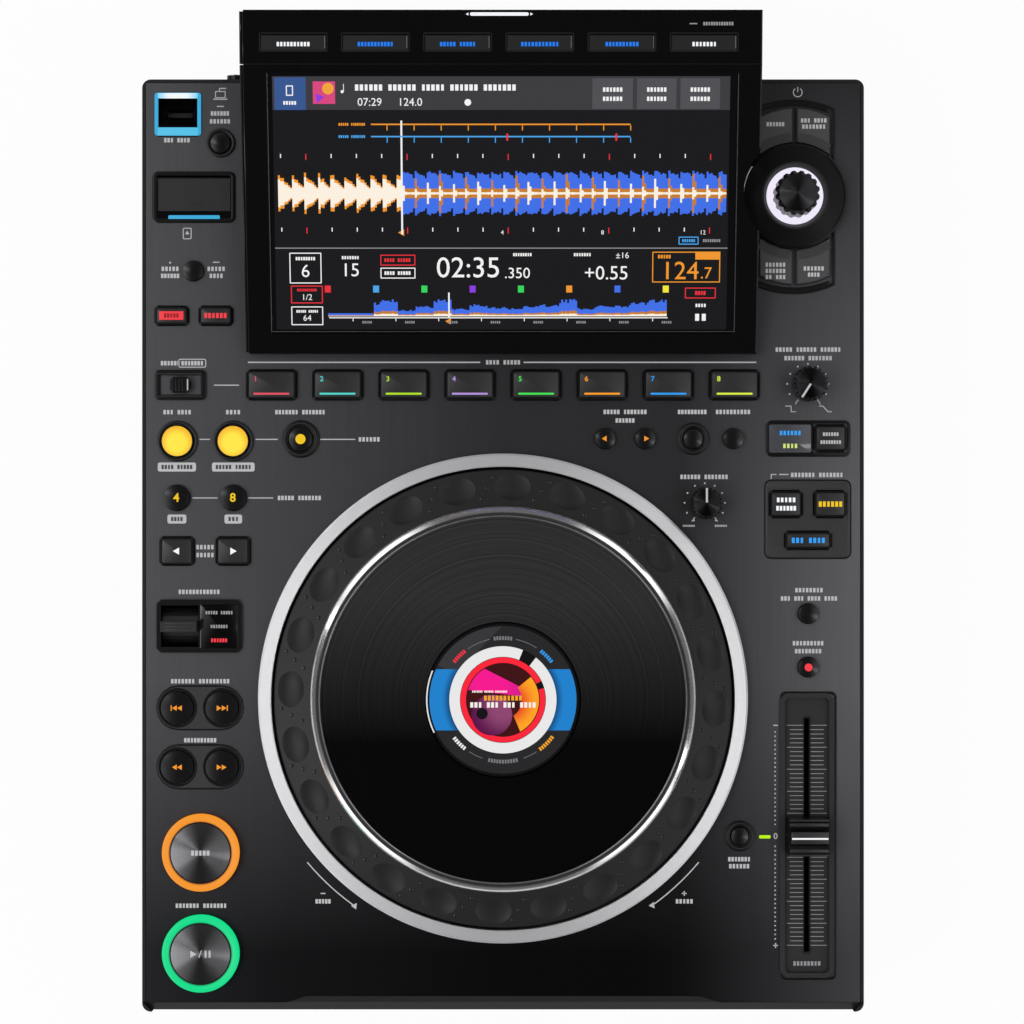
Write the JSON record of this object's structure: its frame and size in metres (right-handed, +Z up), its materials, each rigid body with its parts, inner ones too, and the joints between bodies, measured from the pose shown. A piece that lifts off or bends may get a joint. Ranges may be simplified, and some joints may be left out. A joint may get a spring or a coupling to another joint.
{
  "type": "tabletop dj cd player",
  "caption": "Tabletop media player for disc jockeys with a tilted screen pod, a large jog wheel with a centre display, pads, keys and a tempo fader.",
  "frame": {"origin": "on the table, under the middle of the player's outline as seen from above", "axes": "+X to the user's right, +Y from the front edge to the screen at the rear, +Z up"},
  "size_m": [0.329, 0.45, 0.118],
  "materials": {
    "rubber": "moulded matt",
    "tray_steel": "powder coated, fine texture",
    "case_plastic": "moulded satin",
    "deck_aluminium": "dark anodised, brushed front to back",
    "pod_gloss": "high gloss",
    "screen_glass": "lit screen under a clear cover",
    "ring_aluminium": "satin",
    "rim_rubber": "moulded satin",
    "platter_gloss": "gloss with fine turned grooves",
    "circuit_board": "solder mask",
    "steel_parts": "plated",
    "spun_metal": "spun, clear coat",
    "key_plastic": "moulded satin",
    "amber_lens": "lit from inside"
  },
  "bodies": {
    "root": {"foot_front_left": "rubber", "foot_front_right": "rubber", "foot_rear_left": "rubber", "foot_rear_right": "rubber", "chassis_tray": "tray_steel", "upper_case": "case_plastic", "deck_panel": "deck_aluminium", "display_housing": "pod_gloss", "display_bezel": "pod_gloss", "display_screen": "screen_glass", "jog_ring": "ring_aluminium", "jog_base": "case_plastic", "jog_display": "screen_glass", "main_board": "circuit_board", "panel_board": "circuit_board", "jack_board": "circuit_board", "power_supply": "steel_parts", "ac_inlet": "case_plastic", "media_bay": "pod_gloss", "selector_dish": "pod_gloss", "fader_plate": "pod_gloss", "direction_bezel": "case_plastic"},
    "jog_wheel": {"jog_rim": "rim_rubber", "jog_plate": "platter_gloss"},
    "selector_shaft": {"selector_shaft": "steel_parts"},
    "selector_knob": {"selector_knob": "spun_metal"},
    "tempo_fader": {"tempo_fader_cap": "key_plastic"},
    "direction_lever": {"direction_lever": "key_plastic"},
    "card_flap": {"card_flap": "key_plastic"},
    "speed_knob": {"speed_knob": "key_plastic"},
    "jog_adjust_knob": {"jog_adjust_knob": "key_plastic"},
    "cue_switch": {"cue_switch": "key_plastic"},
    "power_button": {"power_button": "key_plastic"},
    "cue_button": {"cue_button": "spun_metal"},
    "play_button": {"play_button": "spun_metal"},
    "pad_1": {"pad_1": "key_plastic"},
    "pad_2": {"pad_2": "key_plastic"},
    "pad_3": {"pad_3": "key_plastic"},
    "pad_4": {"pad_4": "key_plastic"},
    "pad_5": {"pad_5": "key_plastic"},
    "pad_6": {"pad_6": "key_plastic"},
    "pad_7": {"pad_7": "key_plastic"},
    "pad_8": {"pad_8": "key_plastic"},
    "loop_in": {"loop_in": "amber_lens"},
    "loop_out": {"loop_out": "amber_lens"},
    "reloop": {"reloop": "key_plastic"},
    "back_key": {"back_key": "key_plastic"},
    "tag_key": {"tag_key": "key_plastic"},
    "filter_key": {"filter_key": "key_plastic"},
    "shortcut_key": {"shortcut_key": "key_plastic"},
    "jog_mode_key": {"jog_mode_key": "key_plastic"},
    "beat_sync_key": {"beat_sync_key": "key_plastic"},
    "master_key": {"master_key": "key_plastic"},
    "key_sync_key": {"key_sync_key": "key_plastic"},
    "beat_keys": {"beat_keys": "key_plastic"},
    "search_keys": {"search_keys": "key_plastic"},
    "call_keys": {"call_keys": "key_plastic"},
    "tempo_keys": {"tempo_keys": "key_plastic"},
    "mode_keys": {"mode_keys": "key_plastic"},
    "display_keys": {"display_keys": "key_plastic"}
  },
  "joints": [
    {"name": "jog_spin", "type": "hinge", "parent": "root", "child": "jog_wheel", "pos_m": [0, -0.082, 0.085], "axis": [0, 0, 1], "continuous": true},
    {"name": "tempo_slide", "type": "slide", "parent": "root", "child": "tempo_fader", "axis": [0, 1, 0], "range_m": [-0.05, 0.05]},
    {"name": "direction_tilt", "type": "hinge", "parent": "root", "child": "direction_lever", "pos_m": [-0.1471, -0.04916, 0.0705], "axis": [1, 0, 0], "range_deg": [-18, 18]},
    {"name": "card_flap_hinge", "type": "hinge", "parent": "root", "child": "card_flap", "pos_m": [-0.1408, 0.1543, 0.0786], "axis": [1, 0, 0], "range_deg": [-95, 0]},
    {"name": "selector_push", "type": "slide", "parent": "root", "child": "selector_shaft", "axis": [0, 0, -1], "range_m": [0, 0.0008], "stiffness_N_per_m": 900},
    {"name": "selector_turn", "type": "hinge", "parent": "selector_shaft", "child": "selector_knob", "pos_m": [0.1326, 0.1464, 0.09], "axis": [0, 0, 1], "continuous": true},
    {"name": "speed_turn", "type": "hinge", "parent": "root", "child": "speed_knob", "pos_m": [0.13891, 0.06088, 0.085], "axis": [0, 0, 1], "range_deg": [-290, 0]},
    {"name": "jog_adjust_turn", "type": "hinge", "parent": "root", "child": "jog_adjust_knob", "pos_m": [0.09196, 0.00671, 0.085], "axis": [0, 0, 1], "range_deg": [-150, 150]},
    {"name": "cue_switch_slide", "type": "slide", "parent": "root", "child": "cue_switch", "axis": [1, 0, 0], "range_m": [-0.003, 0.003]},
    {"name": "power_press", "type": "slide", "parent": "root", "child": "power_button", "axis": [0, -1, 0], "range_m": [0, 0.002], "stiffness_N_per_m": 800},
    {"name": "cue_press", "type": "slide", "parent": "root", "child": "cue_button", "axis": [0, 0, -1], "range_m": [0, 0.0012], "stiffness_N_per_m": 900},
    {"name": "play_press", "type": "slide", "parent": "root", "child": "play_button", "axis": [0, 0, -1], "range_m": [0, 0.0012], "stiffness_N_per_m": 900},
    {"name": "display_keys_press", "type": "slide", "parent": "root", "child": "display_keys", "axis": [0, 0.0872, -0.9962], "range_m": [0, 0.0008], "stiffness_N_per_m": 700},
    {"name": "search_keys_press", "type": "slide", "parent": "root", "child": "search_keys", "axis": [0, 0, -1], "range_m": [0, 0.0012], "stiffness_N_per_m": 600},
    {"name": "beat_keys_press", "type": "slide", "parent": "root", "child": "beat_keys", "axis": [0, 0, -1], "range_m": [0, 0.0012], "stiffness_N_per_m": 600},
    {"name": "mode_keys_press", "type": "slide", "parent": "root", "child": "mode_keys", "axis": [0, 0, -1], "range_m": [0, 0.0012], "stiffness_N_per_m": 600},
    {"name": "call_keys_press", "type": "slide", "parent": "root", "child": "call_keys", "axis": [0, 0, -1], "range_m": [0, 0.0012], "stiffness_N_per_m": 600},
    {"name": "tempo_keys_press", "type": "slide", "parent": "root", "child": "tempo_keys", "axis": [0, 0, -1], "range_m": [0, 0.0012], "stiffness_N_per_m": 600},
    {"name": "pad_1_press", "type": "slide", "parent": "root", "child": "pad_1", "axis": [0, 0, -1], "range_m": [0, 0.0012], "stiffness_N_per_m": 600},
    {"name": "loop_in_press", "type": "slide", "parent": "root", "child": "loop_in", "axis": [0, 0, -1], "range_m": [0, 0.0012], "stiffness_N_per_m": 600},
    {"name": "back_key_press", "type": "slide", "parent": "root", "child": "back_key", "axis": [0, 0, -1], "range_m": [0, 0.0012], "stiffness_N_per_m": 600},
    {"name": "jog_mode_press", "type": "slide", "parent": "root", "child": "jog_mode_key", "axis": [0, 0, -1], "range_m": [0, 0.0012], "stiffness_N_per_m": 600},
    {"name": "reloop_press", "type": "slide", "parent": "root", "child": "reloop", "axis": [0, 0, -1], "range_m": [0, 0.0012], "stiffness_N_per_m": 600},
    {"name": "key_sync_press", "type": "slide", "parent": "root", "child": "key_sync_key", "axis": [0, 0, -1], "range_m": [0, 0.0012], "stiffness_N_per_m": 600},
    {"name": "loop_out_press", "type": "slide", "parent": "root", "child": "loop_out", "axis": [0, 0, -1], "range_m": [0, 0.0012], "stiffness_N_per_m": 600},
    {"name": "tag_key_press", "type": "slide", "parent": "root", "child": "tag_key", "axis": [0, 0, -1], "range_m": [0, 0.0012], "stiffness_N_per_m": 600},
    {"name": "filter_key_press", "type": "slide", "parent": "root", "child": "filter_key", "axis": [0, 0, -1], "range_m": [0, 0.0012], "stiffness_N_per_m": 600},
    {"name": "shortcut_key_press", "type": "slide", "parent": "root", "child": "shortcut_key", "axis": [0, 0, -1], "range_m": [0, 0.0012], "stiffness_N_per_m": 600},
    {"name": "beat_sync_press", "type": "slide", "parent": "root", "child": "beat_sync_key", "axis": [0, 0, -1], "range_m": [0, 0.0012], "stiffness_N_per_m": 600},
    {"name": "master_press", "type": "slide", "parent": "root", "child": "master_key", "axis": [0, 0, -1], "range_m": [0, 0.0012], "stiffness_N_per_m": 600},
    {"name": "pad_2_press", "type": "slide", "parent": "root", "child": "pad_2", "axis": [0, 0, -1], "range_m": [0, 0.0012], "stiffness_N_per_m": 600},
    {"name": "pad_3_press", "type": "slide", "parent": "root", "child": "pad_3", "axis": [0, 0, -1], "range_m": [0, 0.0012], "stiffness_N_per_m": 600},
    {"name": "pad_4_press", "type": "slide", "parent": "root", "child": "pad_4", "axis": [0, 0, -1], "range_m": [0, 0.0012], "stiffness_N_per_m": 600},
    {"name": "pad_5_press", "type": "slide", "parent": "root", "child": "pad_5", "axis": [0, 0, -1], "range_m": [0, 0.0012], "stiffness_N_per_m": 600},
    {"name": "pad_6_press", "type": "slide", "parent": "root", "child": "pad_6", "axis": [0, 0, -1], "range_m": [0, 0.0012], "stiffness_N_per_m": 600},
    {"name": "pad_7_press", "type": "slide", "parent": "root", "child": "pad_7", "axis": [0, 0, -1], "range_m": [0, 0.0012], "stiffness_N_per_m": 600},
    {"name": "pad_8_press", "type": "slide", "parent": "root", "child": "pad_8", "axis": [0, 0, -1], "range_m": [0, 0.0012], "stiffness_N_per_m": 600}
  ]
}
